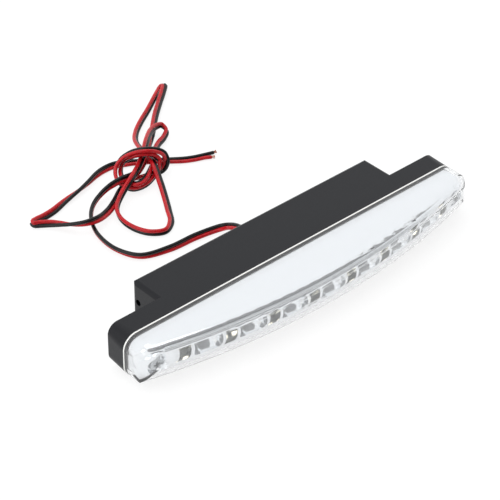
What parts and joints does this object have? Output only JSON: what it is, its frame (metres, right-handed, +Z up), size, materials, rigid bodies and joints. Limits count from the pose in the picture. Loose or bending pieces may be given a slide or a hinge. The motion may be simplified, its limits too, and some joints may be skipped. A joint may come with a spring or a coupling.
{
  "type": "daytime running light",
  "caption": "Slim car lamp bar: a curved clear lens over a bright reflector with small lamps, a black housing with a box behind, and a knotted red and black flex.",
  "frame": {"origin": "centre of the lamp's bounding box on the surface that it lies on, without the flex", "axes": "+X along the lamp, -Y the way it shines, +Y its back, +Z up"},
  "size_m": [0.16, 0.1561, 0.018],
  "materials": {
    "housing_plastic": "black moulded plastic with a fine satin grain",
    "clear_lens": "clear polished moulded plastic",
    "seal_glue": "pale bead of glue",
    "bright_plating": "bright vacuum plating on moulded plastic",
    "board_mask": "white mask on a circuit board",
    "led_body": "pale body with a yellow phosphor window",
    "chip_black": "black chip body",
    "screw_steel": "zinc plated steel",
    "bush_rubber": "black rubber",
    "red_sheath": "red soft plastic sheath, slightly glossy",
    "black_sheath": "black soft plastic sheath, slightly glossy",
    "copper_wire": "bare copper strands"
  },
  "bodies": {
    "root": {"rear_housing": "housing_plastic", "front_lens": "clear_lens", "lens_seal": "seal_glue", "reflector": "bright_plating", "led_board": "board_mask", "led_1": "led_body", "led_2": "led_body", "led_3": "led_body", "led_4": "led_body", "led_5": "led_body", "led_6": "led_body", "led_7": "led_body", "led_8": "led_body", "resistor_1": "chip_black", "resistor_2": "chip_black", "resistor_3": "chip_black", "resistor_4": "chip_black", "polarity_diode": "chip_black", "reflector_screw_left": "screw_steel", "reflector_screw_right": "screw_steel", "board_screw_left": "screw_steel", "board_screw_right": "screw_steel", "cable_grommet": "bush_rubber", "lead_red": "red_sheath", "lead_black": "black_sheath", "power_lead": "red_sheath", "red_tail": "red_sheath", "black_tail": "black_sheath", "copper_tip_red": "copper_wire", "copper_tip_black": "copper_wire"}
  },
  "joints": []
}
